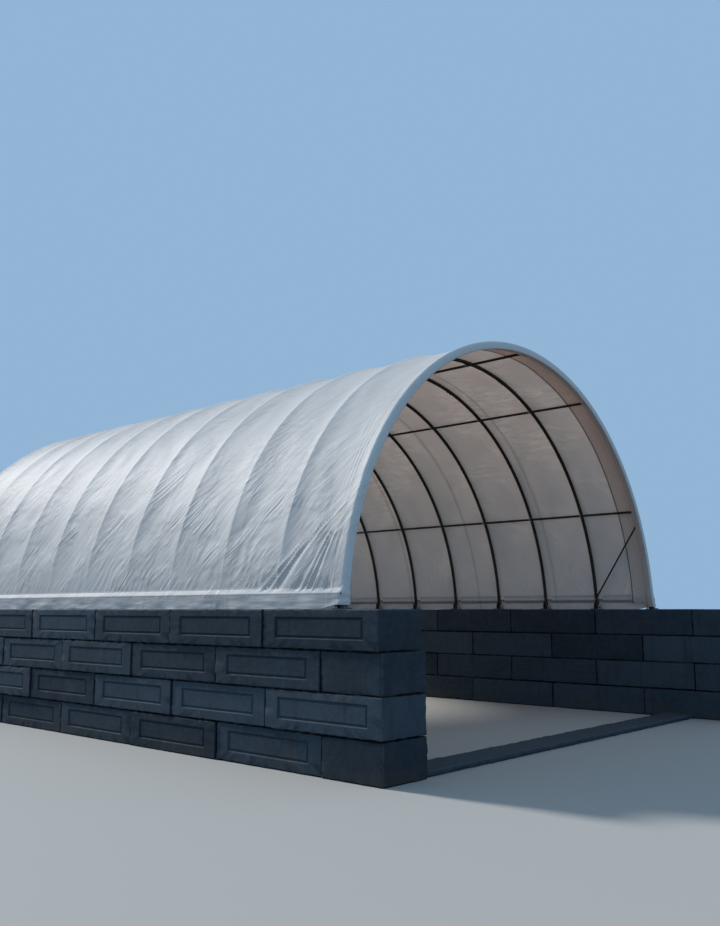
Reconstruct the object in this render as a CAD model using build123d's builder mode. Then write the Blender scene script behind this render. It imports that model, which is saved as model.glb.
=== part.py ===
from build123d import *
import os
from math import asin, cos, degrees, floor, radians, sin, sqrt, tan

# Fabric storage shelter: a round-arch cover on two walls of precast blocks.
# +Z is up and the open front faces -Y. The origin lies on the floor, in the
# middle of the footprint. All lengths are in millimetres.

# Block walls
block_length = 1830.0
block_height = 457.0
block_depth = 750.0
block_chamfer = 16.0
joint_gap = 12.0
course_count = 4
left_wall_blocks = 7
clear_width = 7440.0
top_course_overhang = 20.0
second_course_inset = 10.0
bottom_course_inset = 25.0

# Panel cast into the outer face of a full block
panel_length = 1430.0
panel_height = 235.0
panel_depth = 22.0
panel_slope = 50.0
panel_rise = 14.0

# Hoops
bay_count = 10
front_hoop_setback = 890.0
rear_hoop_setback = 920.0
half_span = 4150.0
rise = 3993.0
tube_radius = 30.0
tube_sides = 8
chords_per_quarter = 13

# Purlins, clamped inside the hoops where two chords meet
purlin_radius = 21.0
pipe_sides = 12
purlin_chords = (4, 9, 13, 17, 22)

# Braces of the end bays
brace_radius = 15.0
brace_foot_height = 170.0
brace_drop = 190.0

# Foot brackets on the walls
plate_width = 120.0
plate_length = 200.0
plate_thickness = 10.0
ear_width = 90.0
ear_height = 120.0
ear_thickness = 8.0
ear_corner = 22.0

# Winches beside the feet, which pull the cover's edge pipes down
winch_offset = 70.0
winch_width = 64.0
winch_height = 74.0
cheek_thickness = 4.0
cheek_corner = 16.0
spool_radius = 15.0
spool_sides = 8
spool_length = 40.0
spool_height = 42.0
strap_width = 26.0
strap_thickness = 3.0

# Cover and its edge pipes
cover_thickness = 6.0
edge_pipe_radius = 21.0
edge_pipe_height = 180.0
pocket_thickness = 4.0
end_band_width = 118.0

# Threshold between the front ends of the walls
threshold_setback = 60.0
threshold_width = 480.0
threshold_height = 70.0

# Clearance between pieces that touch
fit_gap = 0.3

# Sizes that follow from those above
half_block = block_length / 2
wall_top = course_count * block_height
left_wall_length = left_wall_blocks * block_length
right_wall_length = left_wall_length + half_block
rear_end = right_wall_length / 2
left_front_end = rear_end - left_wall_length
right_front_end = rear_end - right_wall_length
wall_centre = clear_width / 2 + block_depth / 2
course_shifts = (-bottom_course_inset, -second_course_inset, 0.0, top_course_overhang)

hoop_radius = (half_span**2 + rise**2) / (2 * rise)
arch_height = wall_top + rise - hoop_radius
chord_angle = 90.0 / chords_per_quarter
chord_bow = cos(radians(chord_angle / 2))
first_hoop = left_front_end + front_hoop_setback
last_hoop = rear_end - rear_hoop_setback
bay_length = (last_hoop - first_hoop) / bay_count
hoop_places = [first_hoop + bay * bay_length for bay in range(bay_count + 1)]
plate_top = wall_top + plate_thickness

cover_inner = hoop_radius + tube_radius / chord_bow + fit_gap
cover_outer = cover_inner + cover_thickness
cover_overhang = tube_radius + ear_thickness + 2 * fit_gap
cover_front = first_hoop - cover_overhang
cover_rear = last_hoop + cover_overhang
cover_length = cover_rear - cover_front

os.makedirs("parts", exist_ok=True)


def save(piece, name):
    """Label a finished piece and write its STEP file."""
    piece.part.label = name
    export_step(piece.part, f"parts/{name}.step")


def section_plane(place):
    """Upright plane across the shelter, with local x along X and local y up."""
    return Plane(origin=(0, place, 0), x_dir=(1, 0, 0), z_dir=(0, -1, 0))


def arch_point(angle, radius=hoop_radius, place=0.0):
    """Point at an angle above the arch's centre line, on the +X side."""
    turn = radians(angle)
    return Vector(radius * cos(turn), place, arch_height + radius * sin(turn))


def chord_below(height):
    """Number of the hoop chord that passes a height, counted from the arch centre."""
    return floor(degrees(asin((height - arch_height) / hoop_radius)) / chord_angle)


def beside_hoop(height, offset):
    """X of a line that runs beside a hoop's centre line, at this height and offset."""
    chord = chord_below(height)
    lower = arch_point(chord * chord_angle)
    upper = arch_point((chord + 1) * chord_angle)
    share = (height - lower.Z) / (upper.Z - lower.Z)
    lean = radians((chord + 0.5) * chord_angle)
    return lower.X + share * (upper.X - lower.X) + offset / cos(lean)


foot_x = beside_hoop(plate_top, 0.0)
edge_pipe_z = wall_top + edge_pipe_height
pocket_inner = edge_pipe_radius + fit_gap
pocket_outer = pocket_inner + pocket_thickness
edge_pipe_x = beside_hoop(edge_pipe_z, tube_radius + fit_gap + pocket_outer)


# Precast blocks
def make_block(length, panelled):
    """Block from y = 0 to its length, with its outer face towards -X."""
    border = panel_depth * tan(radians(panel_slope))
    with BuildPart() as block:
        Box(block_depth, length, block_height, align=(Align.CENTER, Align.MIN, Align.MIN))
        chamfer(block.edges(), length=block_chamfer)
        if panelled:
            with Locations((-block_depth / 2, length / 2, block_height / 2 + panel_rise)):
                Wedge(
                    panel_length,
                    panel_depth,
                    panel_height,
                    border,
                    border,
                    panel_length - border,
                    panel_height - border,
                    rotation=(0, 0, -90),
                    align=(Align.CENTER, Align.MIN, Align.CENTER),
                    mode=Mode.SUBTRACT,
                )
    return block.part


full_block = make_block(block_length - joint_gap, panelled=True)
end_block = make_block(half_block - joint_gap, panelled=False)


def course_layout(front_end, half_first):
    """Where each block of a course starts, with the block that lies there."""
    layout = []
    place = front_end
    if half_first:
        layout.append((place, end_block))
        place += half_block
    while place + block_length < rear_end + joint_gap:
        layout.append((place, full_block))
        place += block_length
    if place + half_block < rear_end + joint_gap:
        layout.append((place, end_block))
    return layout


def make_course(side, front_end, course, half_first):
    """One course of a wall, counted up from 0: side is -1 for the left wall and 1 for the right."""
    offset = side * (wall_centre + course_shifts[course])
    turn = 0 if side < 0 else 180
    with BuildPart() as row:
        for place, block in course_layout(front_end, half_first):
            length = block.bounding_box().size.Y
            start = place + joint_gap / 2 + (length if side > 0 else 0)
            with Locations(Location((offset, start, course * block_height), (0, 0, turn))):
                add(block)
    return row


for course in range(course_count):
    number = course + 1
    save(make_course(-1, left_front_end, course, course % 2 == 0), f"left_wall_course_{number}")
    save(make_course(1, right_front_end, course, course % 2 == 1), f"right_wall_course_{number}")

# Threshold between the walls, against the bottom course
threshold_reach = 2 * (wall_centre - bottom_course_inset - block_depth / 2 - fit_gap)
with BuildPart() as threshold:
    with Locations((0, left_front_end + threshold_setback, 0)):
        Box(
            threshold_reach,
            threshold_width,
            threshold_height,
            align=(Align.CENTER, Align.MIN, Align.MIN),
        )
    chamfer(threshold.faces().sort_by(Axis.Z)[-1].edges(), length=threshold_height / 5)
save(threshold, "front_threshold")


# Hoops: round tube rolled in short even chords, cut level on the foot plates
def make_hoop(place):
    corners = range(-1, 2 * chords_per_quarter + 2)
    with BuildPart() as hoop:
        with BuildLine() as route:
            Polyline(*[arch_point(corner * chord_angle, place=place) for corner in corners])
        start = Plane(origin=route.line @ 0, x_dir=(0, 1, 0), z_dir=route.line % 0)
        with BuildSketch(start):
            RegularPolygon(tube_radius, tube_sides, major_radius=False, rotation=180 / tube_sides)
        sweep(transition=Transition.RIGHT)
        split(bisect_by=Plane.XY.offset(plate_top), keep=Keep.TOP)
    return hoop


for number, place in enumerate(hoop_places, start=1):
    save(make_hoop(place), f"hoop_{number:02d}")

# Purlins along the inside of the hoops
purlin_names = ("right_lower", "right_upper", "ridge", "left_upper", "left_lower")
purlin_ring = hoop_radius - tube_radius / chord_bow - fit_gap - purlin_radius
purlin_length = last_hoop - first_hoop + 2 * tube_radius
for name, chord in zip(purlin_names, purlin_chords):
    centre = arch_point(chord * chord_angle, purlin_ring)
    with BuildPart() as purlin:
        with BuildSketch(section_plane(first_hoop - tube_radius)):
            with Locations((centre.X, centre.Z)):
                RegularPolygon(purlin_radius, pipe_sides, rotation=chord * chord_angle)
        extrude(amount=-purlin_length)
    save(purlin, f"{name}_purlin")

# Braces from the second foot of each end up to the end hoop, under the lower purlin
brace_offset = -(tube_radius + fit_gap + brace_radius)
brace_foot = wall_top + brace_foot_height
brace_head = arch_point(purlin_chords[0] * chord_angle, purlin_ring).Z - brace_drop
ends = {
    "front": (first_hoop, first_hoop + bay_length),
    "rear": (last_hoop, last_hoop - bay_length),
}
for end, (head_place, foot_place) in ends.items():
    for side_name, side in (("left", -1), ("right", 1)):
        foot = Vector(side * beside_hoop(brace_foot, brace_offset), foot_place, brace_foot)
        head = Vector(side * beside_hoop(brace_head, brace_offset), head_place, brace_head)
        with BuildPart() as brace:
            with BuildSketch(Plane(origin=foot, z_dir=head - foot)):
                RegularPolygon(brace_radius, pipe_sides)
            extrude(amount=(head - foot).length)
        save(brace, f"{end}_{side_name}_brace")


# Foot brackets: a plate on the wall and two ears that hold the tube between them
def make_bracket():
    ear_offset = tube_radius + fit_gap + ear_thickness / 2
    with BuildPart() as bracket:
        with Locations((0, 0, wall_top)):
            Box(plate_width, plate_length, plate_thickness, align=(Align.CENTER, Align.CENTER, Align.MIN))
        for place in (-ear_offset, ear_offset):
            with BuildSketch(section_plane(place)) as ear:
                with Locations((0, plate_top)):
                    Rectangle(ear_width, ear_height, align=(Align.CENTER, Align.MIN))
                chamfer(ear.vertices().group_by(Axis.Y)[-1], length=ear_corner)
            extrude(amount=ear_thickness / 2, both=True)
    return bracket.part


# Winches: two cheeks with a spool between them, and the strap up to the edge pipe
def make_winch():
    strap_foot = Vector(foot_x, 0, plate_top + spool_height)
    pipe_centre = Vector(edge_pipe_x, 0, edge_pipe_z)
    strap_length = (pipe_centre - strap_foot).length - pocket_outer - fit_gap
    with BuildPart() as winch:
        with BuildSketch(section_plane(0)) as cheek:
            with Locations((foot_x, plate_top)):
                Rectangle(winch_width, winch_height, align=(Align.CENTER, Align.MIN))
            chamfer(cheek.vertices().group_by(Axis.Y)[-1], length=cheek_corner)
        extrude(amount=spool_length / 2 + cheek_thickness, both=True)
        with Locations((foot_x, 0, plate_top)):
            Box(
                winch_width,
                spool_length,
                winch_height,
                align=(Align.CENTER, Align.CENTER, Align.MIN),
                mode=Mode.SUBTRACT,
            )
        with BuildSketch(section_plane(0)):
            with Locations((strap_foot.X, strap_foot.Z)):
                RegularPolygon(spool_radius, spool_sides, rotation=180 / spool_sides)
        extrude(amount=spool_length / 2, both=True)
        with BuildSketch(Plane(origin=strap_foot, x_dir=(0, 1, 0), z_dir=pipe_centre - strap_foot)):
            Rectangle(strap_width, strap_thickness)
        extrude(amount=strap_length)
    return winch.part


bracket = make_bracket()
winch = make_winch()
for side_name, turn in (("right", 0), ("left", 180)):
    with BuildPart() as brackets:
        for place in hoop_places:
            with Locations(Location((0, place, 0), (0, 0, turn))):
                with Locations((foot_x, 0, 0)):
                    add(bracket)
    save(brackets, f"{side_name}_foot_brackets")
    with BuildPart() as winches:
        for place in hoop_places:
            beside = winch_offset if place == first_hoop else -winch_offset
            with Locations(Location((0, place + beside, 0), (0, 0, turn))):
                add(winch)
    save(winches, f"{side_name}_winches")

# Cover: one sheet over all the hoops, down to the pockets of the edge pipes
pocket_side = edge_pipe_x - cover_outer * cos(asin((edge_pipe_z - arch_height) / cover_outer))
cover_edge = edge_pipe_z + sqrt(pocket_outer**2 - pocket_side**2) + fit_gap
with BuildPart() as cover:
    with BuildSketch(section_plane(cover_front)):
        with Locations((0, arch_height)):
            Circle(cover_outer)
            Circle(cover_inner, mode=Mode.SUBTRACT)
        with Locations((0, cover_edge)):
            Rectangle(
                3 * cover_outer,
                3 * cover_outer,
                align=(Align.CENTER, Align.MAX),
                mode=Mode.SUBTRACT,
            )
    extrude(amount=-cover_length)
save(cover, "cover")

# Edge pipes, and the pocket with its skirt that hangs down to the wall
skirt_length = edge_pipe_z - plate_top - fit_gap
for side_name, side in (("left", -1), ("right", 1)):
    with BuildPart() as pipe:
        with BuildSketch(section_plane(cover_front)):
            with Locations((side * edge_pipe_x, edge_pipe_z)):
                RegularPolygon(edge_pipe_radius, pipe_sides)
        extrude(amount=-cover_length)
    save(pipe, f"{side_name}_edge_pipe")
    with BuildPart() as hem:
        with BuildSketch(section_plane(cover_front)):
            with Locations((side * edge_pipe_x, edge_pipe_z)):
                Circle(pocket_outer)
                with Locations((side * (pocket_outer - pocket_thickness / 2), 0)):
                    Rectangle(pocket_thickness, skirt_length, align=(Align.CENTER, Align.MAX))
                Circle(pocket_inner, mode=Mode.SUBTRACT)
        extrude(amount=-cover_length)
    save(hem, f"{side_name}_hem")

# End bands: the cover folded over the end hoops
for end, place in (("front", cover_front - cover_thickness), ("rear", cover_rear)):
    with BuildPart() as band:
        with BuildSketch(section_plane(place)):
            with Locations((0, arch_height)):
                Circle(cover_outer)
                Circle(cover_outer - end_band_width, mode=Mode.SUBTRACT)
            with Locations((0, plate_top + fit_gap)):
                Rectangle(
                    3 * cover_outer,
                    3 * cover_outer,
                    align=(Align.CENTER, Align.MAX),
                    mode=Mode.SUBTRACT,
                )
        extrude(amount=-cover_thickness)
    save(band, f"{end}_end_band")
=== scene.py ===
"""Fabric storage shelter: a round-arch cover on steel hoops, on two walls of precast blocks.

Lengths are in metres. +Z is up, the open front faces -Y, and the left wall is at -X.
"""

from contextlib import contextmanager
from math import acos, atan2, cos, hypot, pi, radians, sin, sqrt, tau

import bmesh
import bpy
import numpy as np
from bpy.props import FloatProperty, FloatVectorProperty, IntProperty, PointerProperty
from mathutils import Euler, Matrix, Vector


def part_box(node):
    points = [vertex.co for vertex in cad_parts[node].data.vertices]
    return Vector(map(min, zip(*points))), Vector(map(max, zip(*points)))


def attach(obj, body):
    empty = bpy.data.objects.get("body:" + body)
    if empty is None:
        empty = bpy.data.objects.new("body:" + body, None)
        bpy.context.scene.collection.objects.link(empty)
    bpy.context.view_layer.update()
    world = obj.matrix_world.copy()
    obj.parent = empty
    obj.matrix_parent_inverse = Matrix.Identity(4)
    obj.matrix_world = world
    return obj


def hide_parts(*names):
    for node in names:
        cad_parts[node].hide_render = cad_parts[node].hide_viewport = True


bl_info = {
    "name": "Fabric storage shelter",
    "version": (1, 0, 0),
    "blender": (4, 5, 0),
    "location": "3D View > Sidebar > Shelter",
    "description": "Dresses the frame of a fabric storage shelter in its cover, steelwork and blocks",
    "category": "Object",
}

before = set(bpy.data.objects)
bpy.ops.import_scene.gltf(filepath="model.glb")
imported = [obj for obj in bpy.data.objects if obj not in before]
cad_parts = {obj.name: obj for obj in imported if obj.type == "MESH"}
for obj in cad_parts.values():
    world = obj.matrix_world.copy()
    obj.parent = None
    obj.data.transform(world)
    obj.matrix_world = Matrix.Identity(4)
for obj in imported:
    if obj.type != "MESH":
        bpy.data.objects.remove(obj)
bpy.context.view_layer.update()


def middle_of(name):
    """Centre of the box of one of the frame's nodes."""
    return sum(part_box(name), Vector()) / 2


# Places read from the frame
HOOP_NAMES = sorted(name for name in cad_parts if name.startswith("hoop_"))
HOOP_PLACES = [middle_of(name).y for name in HOOP_NAMES]
FRONT_HOOP, REAR_HOOP = HOOP_PLACES[0], HOOP_PLACES[-1]
BAY = HOOP_PLACES[1] - HOOP_PLACES[0]
TUBE_RADIUS = (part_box("hoop_01")[1].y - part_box("hoop_01")[0].y) / 2
PLATE_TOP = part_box("hoop_01")[0].z
WALL_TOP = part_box("left_wall_course_4")[1].z

COVER_LOW, COVER_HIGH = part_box("cover")
COVER_RISE = COVER_HIGH.z - COVER_LOW.z
COVER_RADIUS = (COVER_HIGH.x**2 + COVER_RISE**2) / (2 * COVER_RISE)
ARCH_CENTRE = COVER_HIGH.z - COVER_RADIUS
HOOP_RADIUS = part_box("hoop_01")[1].z - ARCH_CENTRE - TUBE_RADIUS
FOOT_X = middle_of("right_foot_brackets").x

PIPE_LOW, PIPE_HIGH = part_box("right_edge_pipe")
PIPE_RADIUS = (PIPE_HIGH.z - PIPE_LOW.z) / 2
PIPE_X = PIPE_HIGH.x - PIPE_RADIUS
PIPE_Z = PIPE_HIGH.z - PIPE_RADIUS

SIDES = (("left", -1), ("right", 1))
PURLINS = ("right_lower", "right_upper", "ridge", "left_upper", "left_lower")
PURLIN_RADIUS = (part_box("ridge_purlin")[1].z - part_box("ridge_purlin")[0].z) / 2
BRACE_RADIUS = 0.015


def length_setting(name, description, default):
    """Setting that is a length."""
    return FloatProperty(name=name, description=description, default=default, unit="LENGTH")


def colour_setting(name, description, default):
    """Setting that is a colour."""
    return FloatVectorProperty(name=name, description=description, default=default, subtype="COLOR")


class WallSettings(bpy.types.PropertyGroup):
    """Sizes and colours of the precast blocks."""

    joint_gap: length_setting("Joint gap", "Open joint between two blocks of a course", 0.008)
    bed_gap: length_setting("Bed gap", "Open joint between two courses", 0.005)
    chamfer: length_setting("Chamfer", "Width of the chamfer along a block's edges", 0.016)
    panel_length: length_setting("Panel length", "Length of the sunk panel in a full block", 1.40)
    panel_height: length_setting("Panel height", "Height of the sunk panel", 0.25)
    panel_rise: length_setting("Panel rise", "How far the panel lies above the middle", 0.014)
    panel_depth: length_setting("Panel depth", "How far the panel is sunk", 0.007)
    groove_depth: length_setting("Groove depth", "Depth of the groove round the panel", 0.02)
    groove_side: length_setting("Groove side", "Width of each sloped side of the groove", 0.018)
    chip_depth: length_setting("Chip depth", "Depth of the chips along the edges", 0.016)
    shift: length_setting("Shift", "How far a block may lie out of line", 0.011)
    top_setback: length_setting(
        "Top setback", "How far the left wall's top course lies behind its front end", 0.04
    )
    # Painted shade: both concrete colours are darker and bluer than the blocks' own colour, as on blocks
    # in deep shade; the step between them is the blocks' own spread of tone.
    dark: colour_setting("Dark concrete", "Colour of the damp and dark blocks", (0.025, 0.041, 0.060))
    light: colour_setting("Light concrete", "Colour of the dry blocks", (0.070, 0.104, 0.142))
    warm: colour_setting("Earth stain", "Colour of the soil stains", (0.085, 0.075, 0.062))


class FrameSettings(bpy.types.PropertyGroup):
    """Sizes and colours of the steelwork."""

    tube_sides: IntProperty(
        name="Tube sides", description="Number of faces round a hoop's tube",
        default=16, min=6,
    )
    sleeve_length: length_setting(
        "Sleeve length", "Length of the sleeve where two hoop tubes meet", 0.16
    )
    strap_width: length_setting("Strap width", "Width of the straps that hold the purlins", 0.034)
    bolt_size: length_setting("Bolt size", "Width of a bolt head across its flats", 0.019)
    webbing_width: length_setting("Webbing width", "Width of the tie-down straps", 0.026)
    tube: colour_setting("Tube", "Colour of the weathered tube", (0.055, 0.054, 0.054))
    zinc: colour_setting("Zinc", "Colour of the zinc-plated fittings", (0.42, 0.43, 0.44))
    webbing: colour_setting("Webbing", "Colour of the tie-down straps", (0.62, 0.62, 0.58))


class CoverSettings(bpy.types.PropertyGroup):
    """Sizes and colours of the cover."""

    sag: length_setting("Sag", "How far the cover dips between two hoops", 0.042)
    ring_width: length_setting("Ring width", "Depth of the cover's turned end", 0.118)
    flap_width: length_setting("Flap width", "How far the cover's end turns back inside", 0.35)
    pull_height: length_setting(
        "Pull height", "Height above the edge pipe where the folds of a corner meet", 1.4
    )
    fold_turn: FloatProperty(
        name="Fold turn", description="Angle in degrees between two folds of a corner",
        default=6.5,
    )
    fold_height: length_setting("Fold height", "Height of the folds of the corners", 0.015)
    corner_lift: length_setting("Corner lift", "How far the skirt rises off the wall at its ends", 0.05)
    flap_lift: length_setting("Flap lift", "How far the flap inside ends above the wall", 0.11)
    strip_width: length_setting("Strip width", "Width of one roll of the cover's cloth", 1.83)
    seam_width: length_setting("Seam width", "Width of the welded laps between strips", 0.055)
    glow: FloatProperty(
        name="Glow", description="Share of the light that comes through the cloth",
        default=0.25, subtype="FACTOR",
    )
    outside: colour_setting("Outside", "Colour of the cloth in reflected light", (0.79, 0.81, 0.84))
    inside: colour_setting(
        "Inside", "Colour of the light that comes through the cloth", (0.93, 0.69, 0.56)
    )


class StageSettings(bpy.types.PropertyGroup):
    """Floor, light and camera."""

    camera_place: FloatVectorProperty(
        name="Camera place", description="Where the camera stands",
        subtype="TRANSLATION", default=(-11.809, -12.229, 1.823),
    )
    camera_heading: FloatProperty(
        name="Camera heading", description="Turn of the view from the shelter's axis",
        subtype="ANGLE", default=radians(48.028),
    )
    camera_pitch: FloatProperty(
        name="Camera pitch", description="How far the camera looks up",
        subtype="ANGLE", default=radians(9.249),
    )
    camera_lens: FloatProperty(
        name="Camera lens", description="Focal length in millimetres",
        default=34.99,
    )
    floor: colour_setting("Floor", "Colour of the floor", (0.46, 0.46, 0.45))
    floor_glow: FloatProperty(
        name="Floor glow", description="Share of its light that the floor throws back up",
        default=0.35, subtype="FACTOR",
    )
    backdrop: colour_setting("Backdrop", "Colour behind the shelter", (0.29, 0.46, 0.67))
    sun: FloatProperty(
        name="Sun", description="Strength of the soft key light",
        default=2.9,
    )
    sky: FloatProperty(
        name="Sky", description="Strength of the light from all round",
        default=0.5,
    )


# Selecting, editing and finishing objects
def pick(*objects):
    """In object mode, select only these objects, with the first one active."""
    deselect()
    for item in objects:
        item.select_set(True)
    bpy.context.view_layer.objects.active = objects[0]


@contextmanager
def edit_mode(item):
    """Work on an object's mesh with nothing selected."""
    pick(item)
    bpy.ops.object.mode_set(mode="EDIT")
    bpy.ops.mesh.select_all(action="DESELECT")
    yield
    bpy.ops.object.mode_set(mode="OBJECT")


def choose(kind, test):
    """In edit mode, select the vertices, edges or faces that pass a test."""
    bpy.ops.mesh.select_mode(type=kind)
    bpy.ops.mesh.select_all(action="DESELECT")
    shape = bmesh.from_edit_mesh(bpy.context.edit_object.data)
    shape.normal_update()
    for part in {"VERT": shape.verts, "EDGE": shape.edges, "FACE": shape.faces}[kind]:
        part.select_set(bool(test(part)))
    shape.select_flush_mode()
    bmesh.update_edit_mesh(bpy.context.edit_object.data)


def run_along(axis):
    """Test for edges that run along an axis."""
    return lambda edge: abs((edge.verts[0].co - edge.verts[1].co).normalized()[axis]) > 0.98


def new_object(name):
    """Name the object that an operator has just added."""
    made = bpy.context.object
    made.name = name
    return made


def deselect():
    """In object mode, select nothing."""
    if bpy.context.object and bpy.context.object.mode != "OBJECT":
        bpy.ops.object.mode_set(mode="OBJECT")
    bpy.ops.object.select_all(action="DESELECT")


def add_shape(name, add, **settings):
    """With nothing selected, add a shape with an operator, and apply its place and size."""
    deselect()
    add(**settings)
    bpy.ops.object.transform_apply(location=True, rotation=True, scale=True)
    return new_object(name)


def add_box(name, size, centre=(0, 0, 0)):
    """Box of a size about its centre."""
    return add_shape(name, bpy.ops.mesh.primitive_cube_add, size=1, location=centre, scale=size)


def add_cylinder(name, radius, depth, centre=(0, 0, 0), turn=(0, 0, 0), sides=24):
    """Cylinder along z, turned about its centre."""
    return add_shape(
        name, bpy.ops.mesh.primitive_cylinder_add,
        vertices=sides, radius=radius, depth=depth, location=centre, rotation=turn,
    )


def extrude(move):
    """In edit mode, extrude what is selected and move it."""
    bpy.ops.mesh.extrude_region_move(TRANSFORM_OT_translate={"value": move})


def divide_edges(size, step):
    """In edit mode, cut a box's long edges into pieces of about a step."""
    for axis, length in enumerate(size):
        choose("EDGE", lambda edge: edge.calc_length() > 0.1 and run_along(axis)(edge))
        bpy.ops.mesh.subdivide(number_cuts=round(length / step))


def bevel_edges(item, width, segments=1, angle=30):
    """Round an object's sharp edges."""
    modify(
        item, "BEVEL", width=width, segments=segments,
        limit_method="ANGLE", angle_limit=radians(angle),
    )


def modify(item, kind, **settings):
    """Add a modifier and apply it."""
    modifier = item.modifiers.new(kind.title(), kind)
    for name, value in settings.items():
        setattr(modifier, name, value)
    pick(item)
    bpy.ops.object.modifier_apply(modifier=modifier.name)


def copy_of(item, matrix):
    """Copy of an object, with its own mesh moved by a matrix."""
    made = item.copy()
    made.data = item.data.copy()
    made.data.transform(matrix)
    bpy.context.collection.objects.link(made)
    return made


def join(name, items):
    """Join objects into one."""
    pick(*items)
    bpy.ops.object.join()
    return new_object(name)


def repeat(name, model, matrices):
    """Join copies of a model, one at each matrix, and remove the model."""
    made = join(name, [copy_of(model, matrix) for matrix in matrices])
    bpy.data.objects.remove(model)
    return made


def finish_copies(name, model, matrices, material, replaces=(), angle=35):
    """Make one piece of copies of a model, shade it and finish it."""
    piece = repeat(name, model, matrices)
    smooth(piece, angle)
    finish_piece(piece, material, replaces)


def smooth(item, angle=35):
    """Shade an object smooth, apart from its sharp edges."""
    pick(item)
    bpy.ops.object.shade_smooth_by_angle(angle=radians(angle))


def finish_piece(item, material, replaces=()):
    """Give a piece its material, let it ride with the shelter, and hide the frame's nodes that it
    replaces.
    """
    item.data.materials.clear()
    item.data.materials.append(material)
    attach(item, "root")
    if replaces:
        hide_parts(*replaces)


def keep_node(name, material):
    """Give a piece of the frame a better material."""
    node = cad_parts[name]
    node.data.materials.clear()
    node.data.materials.append(material)


def facing(along, across, outwards):
    """Matrix that turns x, y and z to three directions."""
    return Matrix((along, across, outwards)).transposed().to_4x4()


def on_arch(place, angle, radius):
    """Matrix of a spot on the arch: x along the shelter, y up along the arch, z outwards."""
    turn = radians(angle)
    outwards = Vector((cos(turn), 0, sin(turn)))
    along = Vector((0, 1, 0))
    upwards = outwards.cross(along)
    matrix = facing(along, upwards, outwards)
    matrix.translation = outwards * radius + Vector((0, place, ARCH_CENTRE))
    return matrix


def arch_angle(node):
    """Angle of a purlin about the arch's centre."""
    centre = middle_of(node)
    return atan2(centre.z - ARCH_CENTRE, centre.x) * 180 / pi


# Shader maths
class Wire:
    """A node's output. An expression that uses it adds the nodes that work it out."""

    def __init__(self, finish, socket):
        self.finish = finish
        self.socket = socket

    def maths(self, operation, *values):
        """Add a Math node."""
        return self.finish.node("ShaderNodeMath", {"operation": operation}, dict(enumerate(values)))

    def __add__(self, other):
        return self.maths("ADD", self, other)

    def __sub__(self, other):
        return self.maths("SUBTRACT", self, other)

    def __rsub__(self, other):
        return self.maths("SUBTRACT", other, self)

    def __mul__(self, other):
        return self.maths("MULTIPLY", self, other)

    def __abs__(self):
        return self.maths("ABSOLUTE", self)

    __radd__ = __add__
    __rmul__ = __mul__

    def wrapped(self, length):
        """Distance from the nearest multiple of a length."""
        return abs(self.maths("WRAP", self, length / 2, -length / 2))

    def between(self, low, high):
        """Rise smoothly from 0 to 1 as the value goes from low to high."""
        settings = {"interpolation_type": "SMOOTHSTEP"}
        return self.finish.node(
            "ShaderNodeMapRange", settings, {"Value": self, "From Min": low, "From Max": high}
        )


class Finish:
    """A material with a Principled shader, built node by node."""

    def __init__(self, name):
        self.material = bpy.data.materials.new(name)
        self.material.use_nodes = True
        self.tree = self.material.node_tree
        self.shader = self.tree.nodes["Principled BSDF"]

    def feed(self, socket, value):
        """Link a wire to a socket, or set the socket's value."""
        if isinstance(value, Wire):
            self.tree.links.new(value.socket, socket)
        else:
            socket.default_value = value

    def node(self, kind, settings=None, inputs=None, output=0):
        """Add a node with its settings and inputs, and return the wire of one output."""
        made = self.tree.nodes.new(kind)
        for name, value in (settings or {}).items():
            setattr(made, name, value)
        for name, value in (inputs or {}).items():
            self.feed(made.inputs[name], value)
        return Wire(self, made.outputs[output])

    def shade(self, **inputs):
        """Set the shader's sockets, given with underscores for spaces."""
        for name, value in inputs.items():
            self.feed(self.shader.inputs[name.replace("_", " ")], value)

    def place(self):
        """The point on the object."""
        return self.node("ShaderNodeTexCoord", output="Object")

    def stretched(self, point, stretch):
        """A point with a pattern's scale along each axis."""
        return self.node("ShaderNodeVectorMath", {"operation": "MULTIPLY"}, {0: point, 1: stretch})

    def joined(self, x, y):
        """A point from two values."""
        return self.node("ShaderNodeCombineXYZ", None, {0: x, 1: y})

    def part(self, point, axis):
        """A point's value along one axis."""
        return self.node("ShaderNodeSeparateXYZ", None, {0: point}, axis)

    def noise(self, point, scale, detail=3.0, roughness=0.5):
        """Cloudy pattern from 0 to 1."""
        inputs = {"Vector": point, "Scale": scale, "Detail": detail, "Roughness": roughness}
        return self.node("ShaderNodeTexNoise", None, inputs, "Fac")

    def cells(self, point, scale):
        """Distance from the middle of the nearest cell."""
        inputs = {"Vector": point, "Scale": scale}
        return self.node("ShaderNodeTexVoronoi", None, inputs, "Distance")

    def attribute(self, name):
        """A value that the mesh gives each of its points."""
        return self.node("ShaderNodeAttribute", {"attribute_name": name}, None, "Fac")

    def mix(self, factor, low, high):
        """Blend of two colours."""
        low, high = ((*c, 1) if not isinstance(c, Wire) else c for c in (low, high))
        settings = {"data_type": "RGBA"}
        return self.node("ShaderNodeMix", settings, {0: factor, 6: low, 7: high}, 2)

    def bump(self, height, distance, strength, normal=None):
        """Normal of a surface with a relief, on top of another normal."""
        inputs = {"Height": height, "Distance": distance, "Strength": strength}
        if normal:
            inputs["Normal"] = normal
        return self.node("ShaderNodeBump", None, inputs)


def scaled(colour, share):
    """A colour made darker or brighter."""
    return tuple(share * c for c in colour)


# Colours that no setting gives
RUST = (0.10, 0.045, 0.022)
# Bluish tint of the turned ends: painted sky light, as on white cloth in shade.
TURNED_END_PAINTED_SKY_TINT = (0.80, 0.92, 1.0)
# Brighter, bluish colour of the flap inside: painted light on the same cloth.
FLAP_PAINTED_LIGHT_TINT = (0.93, 0.97, 1.0)
ROPE_COLOUR = (0.05, 0.05, 0.05)


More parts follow.
